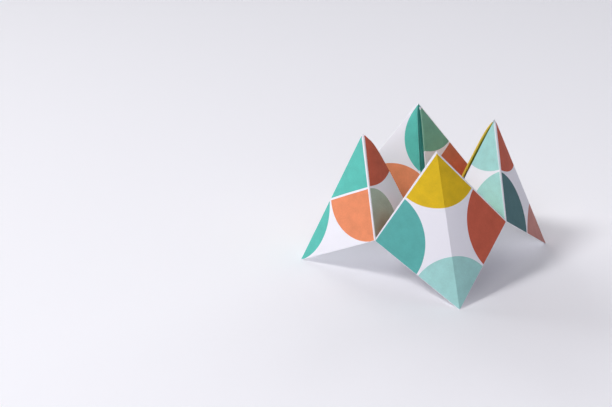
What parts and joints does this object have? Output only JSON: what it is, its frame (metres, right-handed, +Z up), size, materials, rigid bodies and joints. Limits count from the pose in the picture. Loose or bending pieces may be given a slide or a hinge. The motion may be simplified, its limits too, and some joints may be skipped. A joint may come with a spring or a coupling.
{
  "type": "paper fortune teller",
  "caption": "Folded paper fortune teller: one printed square sheet folded to the middle and pushed open into pointed finger pockets, standing on its corners around an open bowl",
  "frame": {"origin": "on the ground under the middle of the part's box; the corners that it stands on are at Z = 0", "axes": "+Z up, the shortest side of the box; -Y towards the pocket that faces the viewer, +X towards the pocket on the viewer's right"},
  "size_m": [0.1214, 0.1214, 0.0657],
  "materials": {
    "printed_paper": "matte"
  },
  "bodies": {
    "root": {"folded_sheet": "printed_paper"}
  },
  "joints": []
}
